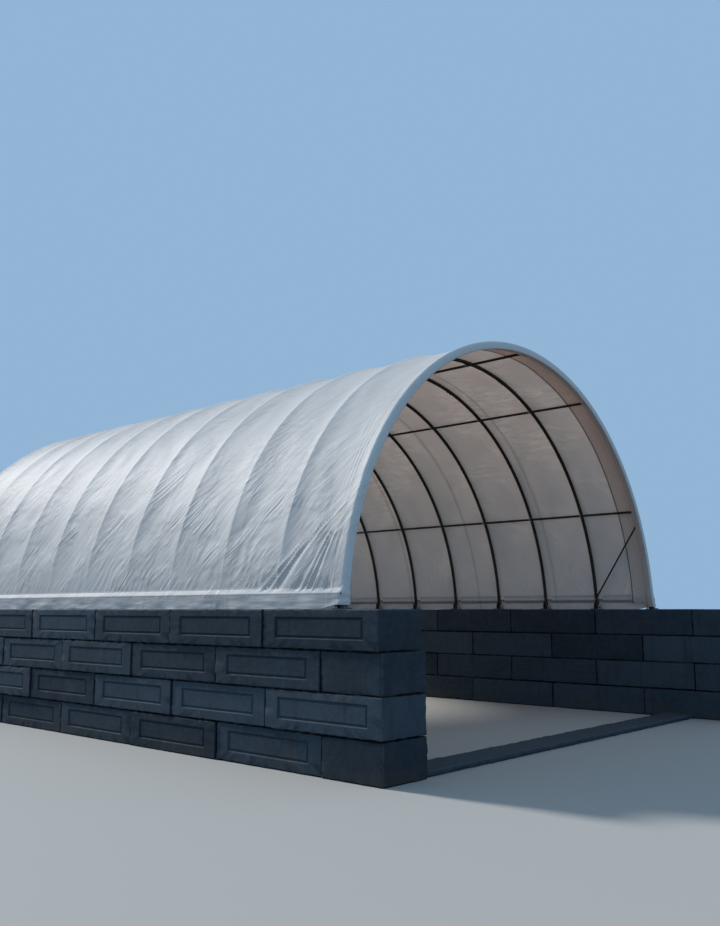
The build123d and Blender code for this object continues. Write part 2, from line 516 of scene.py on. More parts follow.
def concrete_finish(name, dark, light, warm):
    """Cast concrete: blocks of different tone, rain streaks, pores, pale edges and a damp foot."""
    finish = Finish(name)
    point = finish.place()
    height = finish.part(point, "Z")
    tone = finish.attribute("tone")
    edge = finish.attribute("wear_and_highlight")
    joint = finish.attribute("joint")
    cloud = finish.noise(point, 1.7, 5, 0.6)
    mottle = finish.noise(point, 14, 5, 0.65)
    streaks = finish.noise(finish.stretched(point, (9, 9, 0.8)), 1, 4, 0.6)
    boards = finish.noise(finish.stretched(point, (0.7, 0.7, 26)), 1, 2)
    pores = 1 - finish.cells(point, 55).between(0.08, 0.22)
    soil = finish.noise(point, 2.3, 6, 0.7)

    shade = tone * 0.55 + cloud * 0.45 + (mottle - 0.5) * 0.55 + (boards - 0.5) * 0.16
    colour = finish.mix(shade.between(0.1, 0.95), dark, light)
    wet = streaks.between(0.52, 0.72) * 0.45
    colour = finish.mix(wet, colour, scaled(dark, 0.6))
    # Pale chamfer ridges: partly real wear, partly a painted highlight along the edges. The pale cloudy
    # patches are the concrete's own.
    pale = edge * mottle.between(0.3, 0.55) * 0.7 + cloud.between(0.62, 0.8) * 0.2
    colour = finish.mix(pale, colour, scaled(light, 1.4))
    splashed = (1 - height.between(0.02, 0.3)) * 0.4
    stain = soil.between(0.52, 0.76) * 0.3 + splashed * soil.between(0.35, 0.65)
    colour = finish.mix(stain, colour, warm)
    # Sides in the joints darkened: partly dirt, partly painted shade.
    colour = finish.mix(joint * 0.8, colour, scaled(dark, 0.3))
    colour = finish.mix(pores * 0.6, colour, scaled(dark, 0.5))
    relief = finish.noise(point, 38, 6, 0.7) * 0.5 + mottle * 0.6 - pores * 0.5 + boards * 0.15
    finish.shade(
        Base_Color=colour,
        Roughness=0.95 - wet * 0.5,
        Specular_IOR_Level=0.3,
        Normal=finish.bump(relief, 0.006, 0.8),
    )
    return finish.material


def steel_finish(name, colour, roughness=0.45):
    """Zinc-coated steel: mottled coating, dull rubbed patches and a little rust."""
    finish = Finish(name)
    point = finish.place()
    spangle = finish.cells(point, 70)
    cloud = finish.noise(point, 6, 4, 0.6)
    rust = finish.noise(point, 11, 6, 0.7).between(0.66, 0.76) * 0.55
    base = finish.mix(
        (spangle * 0.5 + cloud * 0.5).between(0.2, 0.8),
        scaled(colour, 0.72),
        scaled(colour, 1.3),
    )
    finish.shade(
        Base_Color=finish.mix(rust, base, RUST),
        Metallic=(1 - rust) * 0.85,
        Roughness=roughness + cloud * 0.25 + rust * 0.3,
        Normal=finish.bump(cloud * 0.4 + finish.noise(point, 160, 3), 0.0015, 0.35),
    )
    return finish.material


def webbing_finish(name, colour):
    """Woven strap: ribs along its length and grime in the weave."""
    finish = Finish(name)
    point = finish.place()
    ribs = finish.part(point, "Y").wrapped(0.0032)
    grime = finish.noise(point, 30, 4)
    base = finish.mix(grime.between(0.35, 0.75), colour, scaled(colour, 0.55))
    finish.shade(
        Base_Color=base, Roughness=0.85, Normal=finish.bump(ribs * 400 + grime, 0.001, 0.6)
    )
    return finish.material


def cloth_finish(name, cover):
    """Coated woven cloth: weave, welded laps, fine creases and dust, with light coming through."""
    finish = Finish(name)
    cloth = finish.node("ShaderNodeUVMap", {"uv_map": "cloth"})
    along = finish.part(cloth, "X")
    across = finish.part(cloth, "Y")
    turned = finish.attribute("turned")
    flap = finish.attribute("flap")
    foot = finish.attribute("foot")
    high = finish.attribute("high")
    half = cover.seam_width / 2
    from_seam = (along - FRONT_HOOP - SEAM_START).wrapped(cover.strip_width)
    seam = 1 - from_seam.between(half - 0.004, half)
    weld = 1 - abs(from_seam - half + 0.007).between(0.003, 0.012)
    # Band over each middle hoop's crest: a painted highlight, brighter cloth that also lets less light
    # through.
    over_hoop = (1 - (along - FRONT_HOOP).wrapped(BAY).between(0.002, 0.026)) * (1 - foot)
    ridge = over_hoop * along.between(FRONT_HOOP + 0.3, FRONT_HOOP + 0.4)
    ridge = ridge * (1 - along.between(REAR_HOOP - 0.4, REAR_HOOP - 0.3))
    rope = finish.attribute("rope")

    weave = along.wrapped(0.0028) + across.wrapped(0.0028)
    dust = finish.noise(finish.stretched(cloth, (1, 0.5, 1)), 1.1, 6, 0.65)
    runs = finish.noise(finish.stretched(cloth, (16, 0.35, 1)), 1, 4, 0.6)
    specks = finish.noise(cloth, 26, 4, 0.75)
    grime = dust.between(0.45, 0.8) * 0.12 + runs.between(0.5, 0.8) * 0.10
    grime = grime + foot * finish.noise(cloth, 4, 6, 0.7).between(0.3, 0.7) * 0.3
    grime = grime + weld * 0.16 + flap * specks.between(0.45, 0.6) * 0.3
    dull = tuple(c * k for c, k in zip(cover.outside, (0.62, 0.60, 0.55)))
    # The turned end is tinted blue: painted sky light on white cloth.
    base = finish.mix(turned * 0.8, tuple(cover.outside), TURNED_END_PAINTED_SKY_TINT)
    # The flap is painted brighter than the rest of the cloth: painted light.
    base = finish.mix(flap * 0.9, base, FLAP_PAINTED_LIGHT_TINT)
    base = finish.mix(grime, base, dull)
    base = finish.mix(seam * 0.16, base, scaled(cover.outside, 0.2))
    # Painted highlight along the hoop crests.
    base = finish.mix(ridge * 0.5, base, tuple(min(1, 1.14 * c) for c in cover.outside))
    base = finish.mix(rope, base, ROPE_COLOUR)

    sway = (finish.noise(cloth, 0.9, 2) - 0.5) * 0.6
    creases = finish.noise(finish.joined((along + across * 0.75 + sway) * 8, across * 1.3), 1, 4, 0.6)
    level = finish.noise(finish.joined(along * 2.2 + sway, across * 16), 1, 4, 0.6)
    slant = along + across * 0.85 - sway * 0.6
    streaks = finish.noise(finish.joined(slant * 15, across * 1.6), 1, 2, 0.5)
    crumples = finish.noise(finish.joined((along - across * 0.6 + sway) * 3.5, across * 13), 1, 3, 0.6)
    crumpled = crumples.between(0.35, 0.75) * finish.noise(cloth, 0.8, 2).between(0.4, 0.6)
    gathered = finish.noise(cloth, 1.4, 3).between(0.46, 0.62) * (1 - high * 0.7)
    relief = (creases * 0.7 + streaks * gathered * 1.1) * (1 - foot)
    relief = relief + foot * level * 0.7 + flap * specks * 0.7
    folds = finish.bump(relief, 0.02, 0.7)
    fine = finish.bump(weave * 100 + seam * 2 + weld, 0.0012, 0.35, folds)
    finish.shade(
        Base_Color=base,
        Roughness=0.6 + grime * 0.3,
        Specular_IOR_Level=0.3,
        Normal=fine,
    )
    through = finish.node("ShaderNodeBsdfTranslucent", None, {"Color": (*cover.inside, 1)})
    share = cover.glow * (1 - seam * 0.18 - weld * 0.3 - turned * 0.5 - ridge * 0.6) - grime * 0.1
    # Painted light and shade: creases and crumples let more or less light through as lit and shaded
    # wrinkles, the cloth high up lets more through as a brighter top, and the flap lets more through as
    # a brighter flap.
    share = share * (0.64 + creases * 0.3 + crumpled * 0.5 + high * 0.16) + flap * 0.2 - rope * 0.6
    mixed = finish.node(
        "ShaderNodeMixShader", None, {0: share, 1: Wire(finish, finish.shader.outputs[0]), 2: through}
    )
    finish.feed(finish.tree.nodes["Material Output"].inputs["Surface"], mixed)
    return finish.material


# Block walls
CONCRETE_GRID = 0.06
THRESHOLD_GRID = 0.05
OUTER_BAND = 0.03
PANEL_INSET = 0.01
LEFT_WALL_BLOCKS = 7

# How far a block may turn and lean, in radians
BLOCK_TURN = 0.004
BLOCK_LEAN = 0.0025


def make_block(walls, length, depth, height, panelled):
    """Block from y = 0 to its length, with its outer face towards -X."""
    size = (depth, length, height)
    block = add_box("block", size, (0, length / 2, height / 2))
    with edit_mode(block):
        bpy.ops.mesh.select_all(action="SELECT")
        bpy.ops.mesh.bevel(offset=walls.chamfer, segments=2)
        if panelled:
            choose("FACE", lambda face: face.normal.x < -0.99)
            bpy.ops.mesh.inset(thickness=PANEL_INSET)
            flat_length = length - 2 * walls.chamfer - 2 * PANEL_INSET
            flat_height = height - 2 * walls.chamfer - 2 * PANEL_INSET
            ratio = (1, walls.panel_length / flat_length, walls.panel_height / flat_height)
            bpy.ops.transform.resize(value=ratio, center_override=(0, length / 2, height / 2))
            bpy.ops.transform.translate(value=(0, 0, walls.panel_rise))
            bpy.ops.mesh.inset(thickness=walls.groove_side)
            bpy.ops.transform.translate(value=(walls.groove_depth, 0, 0))
            bpy.ops.mesh.inset(thickness=walls.groove_side / 4)
            bpy.ops.mesh.inset(thickness=walls.groove_side)
            bpy.ops.transform.translate(value=(walls.panel_depth - walls.groove_depth, 0, 0))
        divide_edges(size, CONCRETE_GRID)
    mark_edges(block, size, walls.chamfer)
    return block


def mark_edges(item, size, chamfer):
    """Weigh the vertices along a box's edges, where concrete chips and wears and a highlight is painted.
    """
    centre = np.array((0, size[1] / 2, size[2] / 2))
    points = np.array([vertex.co for vertex in item.data.vertices]) - centre
    inset = np.array(size) / 2 - abs(points)
    near = (inset < chamfer * 1.05).sum(axis=1) > 1
    ridge = (inset < chamfer * 0.9).sum(axis=1) > 1
    group = item.vertex_groups.new(name="edge")
    for rows, weight in ((near & ~ridge, 0.45), (ridge, 1.0)):
        group.add([int(i) for i in np.flatnonzero(rows)], weight, "REPLACE")
    # Chamfer ridges, made pale as wear and as a painted highlight
    give_values(item, "wear_and_highlight", ridge)
    give_values(item, "end_side", inset[:, 1] < chamfer * 0.75)
    give_values(item, "bed_side", inset[:, 2] < chamfer * 0.75)


def mark_joints(wall, start, end, top):
    """Mark the sides that face another block, which are darkened as dirt and as painted shade in the
    joints.
    """
    points = np.array([vertex.co for vertex in wall.data.vertices])
    end_side, bed_side = (take_values(wall, name) for name in ("end_side", "bed_side"))
    between = (points[:, 1] > start + OUTER_BAND) & (points[:, 1] < end - OUTER_BAND)
    below = points[:, 2] < top - OUTER_BAND
    give_values(wall, "joint", np.maximum(end_side * between, bed_side * below))


def give_values(item, name, values):
    """Give each vertex of an object its value of an attribute."""
    attribute = item.data.attributes.new(name, "FLOAT", "POINT")
    spread = np.broadcast_to(values, len(item.data.vertices))
    attribute.data.foreach_set("value", spread.astype(np.float32))


def take_values(item, name):
    """Take an attribute off an object, and return each vertex's value of it."""
    attribute = item.data.attributes[name]
    values = np.zeros(len(item.data.vertices), np.float32)
    attribute.data.foreach_get("value", values)
    item.data.attributes.remove(attribute)
    return values


def cloud_texture(name, size, contrast=1.0, intensity=1.0):
    """Texture that moves a surface in soft lumps of about a size."""
    texture = bpy.data.textures.new(name, "CLOUDS")
    texture.noise_scale = size
    texture.noise_depth = 3
    texture.contrast = contrast
    texture.intensity = intensity
    return texture


def weather(item, chip_depth, wave=0.006):
    """Make cast concrete uneven and chip its edges, with its foot kept on the floor."""
    modify(item, "DISPLACE", texture=cloud_texture("casting", 0.35), strength=wave)
    chips = cloud_texture("chips", 0.07, contrast=2.6, intensity=0.72)
    modify(
        item, "DISPLACE", texture=chips, strength=-chip_depth, mid_level=0.0, vertex_group="edge"
    )
    for vertex in item.data.vertices:
        vertex.co.z = max(vertex.co.z, 0.0)


class SHELTER_OT_block_walls(bpy.types.Operator):
    """Build the two walls of precast blocks"""

    bl_idname = "shelter.block_walls"
    bl_label = "Block walls"

    def execute(self, context):
        walls = context.scene.shelter_walls
        material = concrete_finish("weathered_concrete", walls.dark, walls.light, walls.warm)
        low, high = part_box("left_wall_course_4")
        depth, height = high.x - low.x, high.z - low.z
        block_length = (high.y - low.y + walls.joint_gap) / LEFT_WALL_BLOCKS
        models = {}
        for share in (1.0, 0.5):
            size = block_length * share - walls.joint_gap
            models[share] = make_block(walls, size, depth, height - walls.bed_gap, share == 1.0)
        chance = np.random.default_rng(11)
        for side in ("left", "right"):
            for course in range(1, 5):
                self.lay_course(walls, models, block_length, side, course, chance, material)
        for model in models.values():
            bpy.data.objects.remove(model)
        return {"FINISHED"}

    def lay_course(self, walls, models, block_length, side, course, chance, material):
        """Lay one course in the place of its node, with each block a little out of line."""
        node = f"{side}_wall_course_{course}"
        low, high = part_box(node)
        blocks_long = (high.y - low.y + walls.joint_gap) / block_length
        # Half blocks at the ends let the joints break from course to course
        shares = [0.5] if course % 2 == (side == "left") else []
        while sum(shares) + 0.9 < blocks_long:
            shares.append(1.0)
        if sum(shares) + 0.4 < blocks_long:
            shares.append(0.5)
        centre = (low.x + high.x) / 2
        setback = walls.top_setback if node == "left_wall_course_4" else 0.0
        squeeze = 1 - setback / (high.y - low.y)
        place = low.y + setback
        blocks = []
        for share in shares:
            model = models[share]
            length = block_length * share * squeeze
            shift = Vector((chance.uniform(-1, 1), chance.uniform(-0.15, 0.15), 0)) * walls.shift
            start = Vector((centre, place, low.z + (walls.bed_gap if course > 1 else 0))) + shift
            turn = Matrix.Rotation(chance.uniform(-1, 1) * BLOCK_TURN, 4, "Z")
            turn = turn @ Matrix.Rotation(chance.uniform(-1, 1) * BLOCK_LEAN, 4, "X")
            if side == "right":
                start.y += length - walls.joint_gap
                turn = turn @ Matrix.Rotation(pi, 4, "Z")
            lie = Matrix.Translation(start) @ turn @ Matrix.Diagonal((1, squeeze, 1, 1))
            block = copy_of(model, lie)
            give_values(block, "tone", chance.uniform(0, 1))
            blocks.append(block)
            place += length
        wall = join(f"{node}_blocks", blocks)
        mark_joints(wall, low.y + setback, high.y, WALL_TOP)
        weather(wall, walls.chip_depth)
        smooth(wall, 20)
        finish_piece(wall, material, [node])


class SHELTER_OT_threshold(bpy.types.Operator):
    """Build the concrete threshold between the walls"""

    bl_idname = "shelter.threshold"
    bl_label = "Threshold"

    def execute(self, context):
        walls = context.scene.shelter_walls
        low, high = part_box("front_threshold")
        size = high - low
        strip = add_box("front_threshold_strip", size, (0, size.y / 2, size.z / 2))
        with edit_mode(strip):
            bpy.ops.mesh.select_all(action="SELECT")
            bpy.ops.mesh.bevel(offset=walls.chamfer, segments=2)
            divide_edges(size, THRESHOLD_GRID)
        mark_edges(strip, size, walls.chamfer)
        strip.data.transform(Matrix.Translation((0, low.y, low.z)))
        give_values(strip, "tone", 0.9)
        weather(strip, chip_depth=0.02, wave=0.012)
        smooth(strip, 40)
        # Two tones for the strip, from a third to nine tenths of the walls' light colour.
        threshold_tones = [scaled(walls.light, share) for share in (0.35, 0.9)]
        material = concrete_finish("threshold_concrete", *threshold_tones, walls.warm)
        finish_piece(strip, material, ["front_threshold"])
        return {"FINISHED"}


# Steelwork

# Places of the sleeves: degrees round a hoop, and shares of a tube's length
SLEEVE_ANGLES = (45, 76, 104, 135)
PURLIN_SLEEVES = (0.27, 0.545, 0.82)
PIPE_SLEEVES = (0.16, 0.43, 0.7)
STRAIGHT_SLEEVE_LENGTH = 0.13

# Distances from a brace's end, and how flat the tube is there
BRACE_FLATS = ((0.085, 0.8), (0.062, 0.5), (0.042, 0.45))
BRACE_GRID = 0.02
BRACE_STRAP_INSET = 0.028

# Thicknesses of a pipe strap's steel and of the webbing
STRAP_STEEL = 0.0026
WEBBING_THICKNESS = 0.0024
STRAP_FOOT = 0.03


def hex_bolt(size, shank=0.0):
    """Bolt head with a washer that stands on z = 0, and a shank below it."""
    head = add_cylinder("head", size / 2 / cos(pi / 6), size * 0.55, (0, 0, size * 0.4), sides=6)
    bevel_edges(head, size * 0.06)
    washer = add_cylinder("washer", size * 0.85, size * 0.13, (0, 0, size * 0.065), sides=16)
    parts = [head, washer]
    if shank:
        parts.append(add_cylinder("shank", size * 0.3, shank, (0, 0, -shank / 2), sides=8))
    return join("bolt", parts)


def pipe_strap(steel, radius):
    """Two-hole strap over a pipe that runs along x, with its feet at z = the pipe's radius."""
    clear = radius + 0.0012
    strap = add_shape(
        "strap", bpy.ops.mesh.primitive_circle_add,
        vertices=24, radius=clear, rotation=(0, pi / 2, 0),
    )
    with edit_mode(strap):
        choose("VERT", lambda vertex: vertex.co.z > 0.001)
        bpy.ops.mesh.delete(type="VERT")
        choose("VERT", lambda vertex: vertex.co.z > -0.0001)
        extrude((0, 0, radius - 0.0035))
        for side in (-1, 1):
            choose("VERT", lambda vertex: vertex.co.z > radius - 0.004 and vertex.co.y * side > 0)
            extrude((0, side * STRAP_FOOT, 0))
        bpy.ops.mesh.select_all(action="SELECT")
        extrude((steel.strap_width, 0, 0))
    strap.data.transform(Matrix.Translation((-steel.strap_width / 2, 0, 0)))
    modify(strap, "SOLIDIFY", thickness=STRAP_STEEL, offset=0.0)
    bevel_edges(strap, 0.0006)
    bolt = hex_bolt(0.013)
    flip = Matrix.Rotation(pi, 4, "X")
    screws = [
        copy_of(bolt, Matrix.Translation((0, side * (clear + STRAP_FOOT * 0.6), radius - 0.005)) @ flip)
        for side in (-1, 1)
    ]
    bpy.data.objects.remove(bolt)
    return join("strap", [strap, *screws])


class SHELTER_OT_hoops(bpy.types.Operator):
    """Build the hoops with their sleeves and bolts"""

    bl_idname = "shelter.hoops"
    bl_label = "Hoops"

    def execute(self, context):
        steel = context.scene.shelter_frame
        material = steel_finish("weathered_tube", steel.tube)
        model = self.make_hoop(steel)
        for name, place in zip(HOOP_NAMES, HOOP_PLACES):
            hoop = copy_of(model, Matrix.Translation((0, place, 0)))
            hoop.name = f"{name}_tube"
            finish_piece(hoop, material, [name])
        bpy.data.objects.remove(model)
        return {"FINISHED"}

    def make_hoop(self, steel):
        """Half a ring of tube, cut level on the foot plates."""
        tube = add_shape(
            "tube", bpy.ops.mesh.primitive_circle_add,
            vertices=steel.tube_sides, radius=TUBE_RADIUS, location=(HOOP_RADIUS, 0, ARCH_CENTRE),
        )
        with edit_mode(tube):
            bpy.ops.mesh.select_all(action="SELECT")
            bpy.ops.mesh.spin(steps=120, angle=pi, center=(0, 0, ARCH_CENTRE), axis=(0, 1, 0))
            bpy.ops.mesh.select_all(action="SELECT")
            bpy.ops.mesh.bisect(
                plane_co=(0, 0, PLATE_TOP), plane_no=(0, 0, 1), clear_inner=True, use_fill=True
            )
            bpy.ops.mesh.select_all(action="SELECT")
            bpy.ops.mesh.normals_make_consistent(inside=False)
        parts = [tube]
        sleeve = add_cylinder("sleeve", TUBE_RADIUS + 0.0012, steel.sleeve_length, sides=20)
        bevel_edges(sleeve, 0.001)
        sleeve.data.transform(Matrix.Rotation(pi / 2, 4, "X"))
        bolt = hex_bolt(steel.bolt_size)
        flip = Matrix.Rotation(pi, 4, "X")
        for angle in SLEEVE_ANGLES:
            spot = on_arch(0, angle, HOOP_RADIUS)
            parts.append(copy_of(sleeve, spot))
            for side in (-1, 1):
                reach = (0, side * steel.sleeve_length * 0.3, -TUBE_RADIUS - 0.001)
                parts.append(copy_of(bolt, spot @ Matrix.Translation(reach) @ flip))
        for spare in (sleeve, bolt):
            bpy.data.objects.remove(spare)
        hoop = join("hoop", parts)
        smooth(hoop)
        return hoop


def long_tube(name, radius, start, end, sleeves=()):
    """Round tube from one point to another, with sleeves at these shares of its length."""
    run = end - start
    tube = add_cylinder(name, radius, run.length, (0, 0, run.length / 2), sides=20)
    bevel_edges(tube, 0.003, 2, 60)
    parts = [tube]
    for share in sleeves:
        middle = (0, 0, run.length * share)
        sleeve = add_cylinder("sleeve", radius + 0.0016, STRAIGHT_SLEEVE_LENGTH, middle, sides=20)
        bevel_edges(sleeve, 0.0012, 2, 60)
        parts.append(sleeve)
    made = join(name, parts)
    made.data.transform(Matrix.Translation(start) @ run.to_track_quat("Z", "Y").to_matrix().to_4x4())
    smooth(made)
    return made


def tube_ends(node):
    """Centres of the two ends of a straight tube of the frame, the front one first."""
    spots = {tuple(round(c, 5) for c in vertex.co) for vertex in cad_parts[node].data.vertices}
    spots = sorted((Vector(spot) for spot in spots), key=lambda spot: spot.y)
    half = len(spots) // 2
    return [sum(part, Vector()) / len(part) for part in (spots[:half], spots[half:])]


class SHELTER_OT_purlins_and_braces(bpy.types.Operator):
    """Build the purlins and braces and strap them to the hoops"""

    bl_idname = "shelter.purlins_and_braces"
    bl_label = "Purlins and braces"

    def execute(self, context):
        steel = context.scene.shelter_frame
        tube = steel_finish("purlin_tube", tuple(steel.tube))
        zinc = steel_finish("zinc_fittings", scaled(steel.zinc, 0.6), roughness=0.35)
        for name in PURLINS:
            node = f"{name}_purlin"
            purlin = long_tube(f"{node}_tube", PURLIN_RADIUS, *tube_ends(node), PURLIN_SLEEVES)
            finish_piece(purlin, tube, [node])
            angle = arch_angle(node)
            ring = HOOP_RADIUS - TUBE_RADIUS - PURLIN_RADIUS
            spots = [on_arch(place, angle, ring) for place in HOOP_PLACES]
            strap = pipe_strap(steel, PURLIN_RADIUS)
            finish_copies(f"{name}_purlin_straps", strap, spots, zinc)
        for end in ("front", "rear"):
            for side in ("left", "right"):
                node = f"{end}_{side}_brace"
                self.make_brace(steel, node, tube, zinc)
        return {"FINISHED"}

    def make_brace(self, steel, node, tube, zinc):
        """Tube with flattened ends, strapped to its two hoops."""
        start, end = tube_ends(node)
        run = end - start
        brace = add_cylinder("brace", BRACE_RADIUS, run.length, (0, 0, run.length / 2), sides=16)
        with edit_mode(brace):
            choose("EDGE", run_along(2))
            bpy.ops.mesh.subdivide(number_cuts=round(run.length / BRACE_GRID))
            for reach, flat in BRACE_FLATS:
                near_end = (run.length - reach, reach)
                choose("VERT", lambda vertex: not near_end[1] < vertex.co.z < near_end[0])
                bpy.ops.transform.resize(value=(flat, 1, 1), center_override=(0, 0, run.length / 2))
        outwards = Vector((start.x + end.x, 0, start.z + end.z - 2 * ARCH_CENTRE)).normalized()
        along = run.normalized()
        across = outwards.cross(along).normalized()
        lie = facing(across.cross(along) * -1, across, along)
        brace.data.transform(Matrix.Translation(start) @ lie)
        smooth(brace, 50)
        finish_piece(brace, tube, [node])
        matrices = []
        for point, step in ((start, 1), (end, -1)):
            outwards = Vector((point.x, 0, point.z - ARCH_CENTRE)).normalized()
            across = outwards.cross(along).normalized()
            matrix = facing(along, across, along.cross(across))
            matrix.translation = point + along * BRACE_STRAP_INSET * step
            matrices.append(matrix)
        strap = pipe_strap(steel, BRACE_RADIUS)
        finish_copies(f"{node}_straps", strap, matrices, zinc)


# Places of the bolts on a foot bracket, and of the winches beside it
EAR_FACE = TUBE_RADIUS + 0.0088
EAR_BOLT_HEIGHTS = (0.04, 0.082)
PLATE_BOLT_ASIDE = 0.038
PLATE_BOLT_AHEAD = 0.078
WINCH_OFFSET = 0.07
ROLL_HEIGHT = 0.042

# The strap's sewn end: distance down from the pipe, and how far it stands off
STRAP_TAIL = ((0.055, 0.012), (0.105, 0.006))


class SHELTER_OT_foot_brackets(bpy.types.Operator):
    """Finish the foot brackets and bolt them to the hoops and walls"""

    bl_idname = "shelter.foot_brackets"
    bl_label = "Foot brackets"

    def execute(self, context):
        steel = context.scene.shelter_frame
        # Plate and bolts are much darker than the zinc: partly dark, dirty steel, partly painted shade
        # at the shelter's feet.
        plate = steel_finish("bracket_plate_painted_shade", scaled(steel.zinc, 0.28), roughness=0.55)
        zinc = steel_finish("zinc_bolts_painted_shade", scaled(steel.zinc, 0.6), roughness=0.4)
        for side_name, side in SIDES:
            node = f"{side_name}_foot_brackets"
            keep_node(node, plate)
            bolt = hex_bolt(steel.bolt_size * 1.2, 0.012)
            matrices = []
            for place in HOOP_PLACES:
                for height in EAR_BOLT_HEIGHTS:
                    for face in (-1, 1):
                        centre = (side * FOOT_X, place + face * EAR_FACE, PLATE_TOP + height)
                        turn = Matrix.Rotation(-face * pi / 2, 4, "X")
                        matrices.append(Matrix.Translation(centre) @ turn)
                free = -1 if place == FRONT_HOOP else 1
                for across in (-PLATE_BOLT_ASIDE, PLATE_BOLT_ASIDE):
                    corner = (side * FOOT_X + across, place + free * PLATE_BOLT_AHEAD, PLATE_TOP)
                    matrices.append(Matrix.Translation(corner))
            finish_copies(f"{side_name}_foot_bolts", bolt, matrices, zinc)
        return {"FINISHED"}


class SHELTER_OT_winches(bpy.types.Operator):
    """Build the ratchet winches that hold the cover's edge pipes down"""

    bl_idname = "shelter.winches"
    bl_label = "Winches"

    def execute(self, context):
        steel = context.scene.shelter_frame
        zinc = steel_finish("zinc_winch", scaled(steel.zinc, 1.25), roughness=0.3)
        webbing = webbing_finish("tie_down_webbing", tuple(steel.webbing))
        places = winch_places()
        for side_name, turn in (("right", 0), ("left", pi)):
            node = f"{side_name}_winches"
            matrices = [
                Matrix.Translation((0, place, 0)) @ Matrix.Rotation(turn, 4, "Z") for place in places
            ]
            name = f"{side_name}_ratchet_winches"
            finish_copies(name, self.make_winch(steel), matrices, zinc, [node])
            name = f"{side_name}_tie_straps"
            finish_copies(name, self.make_strap(steel), matrices, webbing, angle=50)
        return {"FINISHED"}

    def make_winch(self, steel):
        """Base with two cheeks, spool, roll of webbing, ratchet wheel and pawl, at the right foot."""
        width, height, inner, cheek = 0.064, 0.074, 0.040, 0.004
        middle = height * 0.57
        parts = [add_box("base", (width, inner + 2 * cheek, cheek), (0, 0, cheek / 2))]
        for side in (-1, 1):
            plate = add_box("cheek", (width, cheek, height), (0, side * (inner + cheek) / 2, height / 2))
            with edit_mode(plate):
                choose("EDGE", lambda edge: run_along(1)(edge) and edge.verts[0].co.z > height - 0.001)
                bpy.ops.mesh.bevel(offset=0.02, segments=4)
            parts.append(plate)
        turn = (pi / 2, 0, 0)
        parts.append(add_cylinder("spool", 0.009, inner + 0.032, (0, 0, middle), turn))
        parts.append(add_cylinder("roll", 0.023, steel.webbing_width, (0, 0, middle), turn, 32))
        outside = inner / 2 + cheek
        parts.append(self.make_ratchet((0, outside + 0.002, middle)))
        parts.append(add_box("pawl", (0.012, 0.005, 0.034), (0.017, outside + 0.004, middle + 0.020)))
        nut = hex_bolt(0.017)
        spot = Matrix.Translation((0, -outside, middle)) @ Matrix.Rotation(pi / 2, 4, "X")
        parts.append(copy_of(nut, spot))
        bpy.data.objects.remove(nut)
        winch = join("winch", parts)
        bevel_edges(winch, 0.0005)
        winch.data.transform(Matrix.Translation((FOOT_X, 0, PLATE_TOP)))
        return winch

    def make_ratchet(self, centre):
        """Toothed wheel that turns about y."""
        teeth = 12
        wheel = add_shape(
            "ratchet", bpy.ops.mesh.primitive_circle_add,
            vertices=2 * teeth, radius=0.024, fill_type="NGON", rotation=(pi / 2, 0, 0),
        )
        with edit_mode(wheel):
            choose("VERT", lambda vertex: vertex.index % 2)
            bpy.ops.transform.resize(value=(0.8, 0.8, 0.8), center_override=(0, 0, 0))
            bpy.ops.mesh.select_all(action="SELECT")
            extrude((0, 0.005, 0))
            bpy.ops.mesh.select_all(action="SELECT")
            bpy.ops.mesh.normals_make_consistent(inside=False)
        wheel.data.transform(Matrix.Translation(centre))
        return wheel

    def make_strap(self, steel):
        """Webbing from the winch's roll, up and over the edge pipe and back, sewn to itself."""
        roll = Vector((FOOT_X, 0, PLATE_TOP + ROLL_HEIGHT))
        pipe = Vector((PIPE_X, 0, PIPE_Z))
        run = (pipe - roll).normalized()
        aside = Vector((run.z, 0, -run.x))
        loop = PIPE_RADIUS + 0.0022
        line = [roll - aside * 0.0225, pipe - aside * loop]
        for step in range(1, 9):
            turn = pi * step / 8
            line.append(pipe - aside * loop * cos(turn) + run * loop * sin(turn))
        for down, off in STRAP_TAIL:
            line.append(pipe - run * down + aside * (-loop + off))
        strap = add_shape(
            "strap", bpy.ops.mesh.primitive_plane_add, size=steel.webbing_width, location=line[0]
        )
        with edit_mode(strap):
            choose("VERT", lambda vertex: vertex.co.x > line[0].x)
            bpy.ops.mesh.delete(type="VERT")
            choose("EDGE", lambda edge: True)
            bpy.ops.transform.translate(value=(steel.webbing_width / 2, 0, 0))
            for start, end in zip(line, line[1:]):
                extrude(end - start)
        modify(strap, "SOLIDIFY", thickness=WEBBING_THICKNESS, offset=0.0)
        return strap


def winch_places():
    """Where the winches stand: just ahead of each foot, and behind the first."""
    return [place + (WINCH_OFFSET if place == FRONT_HOOP else -WINCH_OFFSET) for place in HOOP_PLACES]


# Cover
SEAM_START = 0.15
SHEET_GAP = 0.0036
POCKET_GAP = 0.0042
POCKET_TOP = 0.095
POCKET_FOOT = 0.062
LEAVES_ARCH = 0.07
SKIRT_TOP = -0.045
SKIRT_SPREAD = 0.012
SAG_SHAPE = 5.0
FLAP_DEPTH = 2 * TUBE_RADIUS - 0.003
LIP_REACH = 0.085
ROPE_RADIUS = 0.0055
PIPE_END_COVER = 0.013
STRAP_CUT = 0.035
FLAP_CLEAR = 0.013
HOOP_CLEAR = 0.0015
FRONT_BAY_ROWS = 96
MIDDLE_BAY_ROWS = 36
REAR_BAY_ROWS = 45
HOOP_FOLD_HEIGHT = 0.0022
FOOT_FOLD_HEIGHT = 0.006
SECOND_BAY_LEAN = 0.75

# Height, wavelength and seed of the waves between the hoops
WAVES = ((0.0040, 0.9, 3), (0.0014, 0.38, 4))

